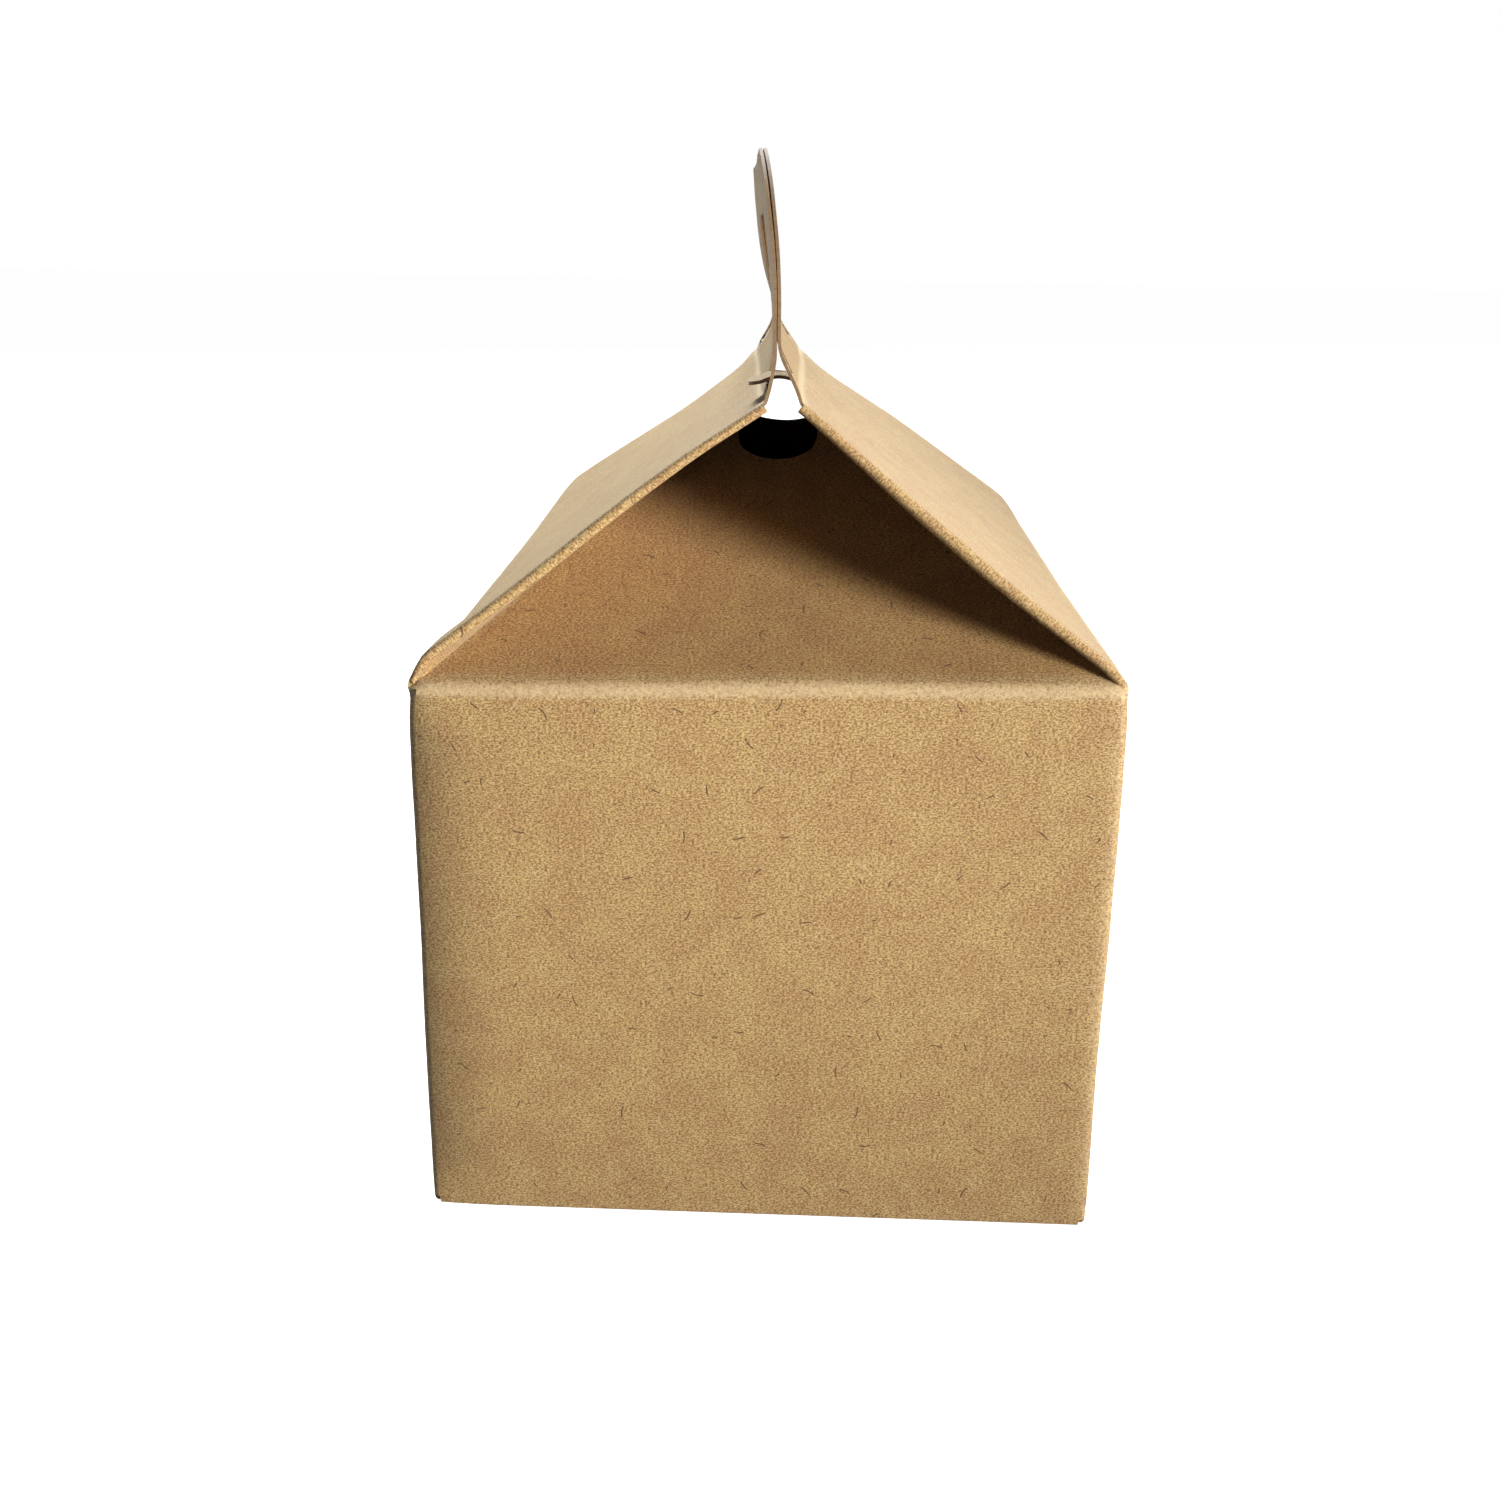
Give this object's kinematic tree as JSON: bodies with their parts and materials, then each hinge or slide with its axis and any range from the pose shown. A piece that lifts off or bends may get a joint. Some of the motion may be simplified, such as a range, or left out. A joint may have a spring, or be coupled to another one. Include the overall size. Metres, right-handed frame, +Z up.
{
  "type": "snack carry box",
  "caption": "Kraft board carton with a gable roof, folded-in gusset ends and a closed carry handle with a hand hole along the ridge.",
  "frame": {"origin": "centre of the base, on the surface that the box stands on", "axes": "+Z up, +X across the width to the panel that the lock tongues are cut from, +Y along the length to the end that the camera doesn't see"},
  "size_m": [0.1, 0.153, 0.1554],
  "materials": {
    "kraft_board": "uncoated natural kraft board, matt, with fine dark and pale fibres and worn pale folds"
  },
  "bodies": {
    "root": {"carton": "kraft_board"}
  },
  "joints": []
}
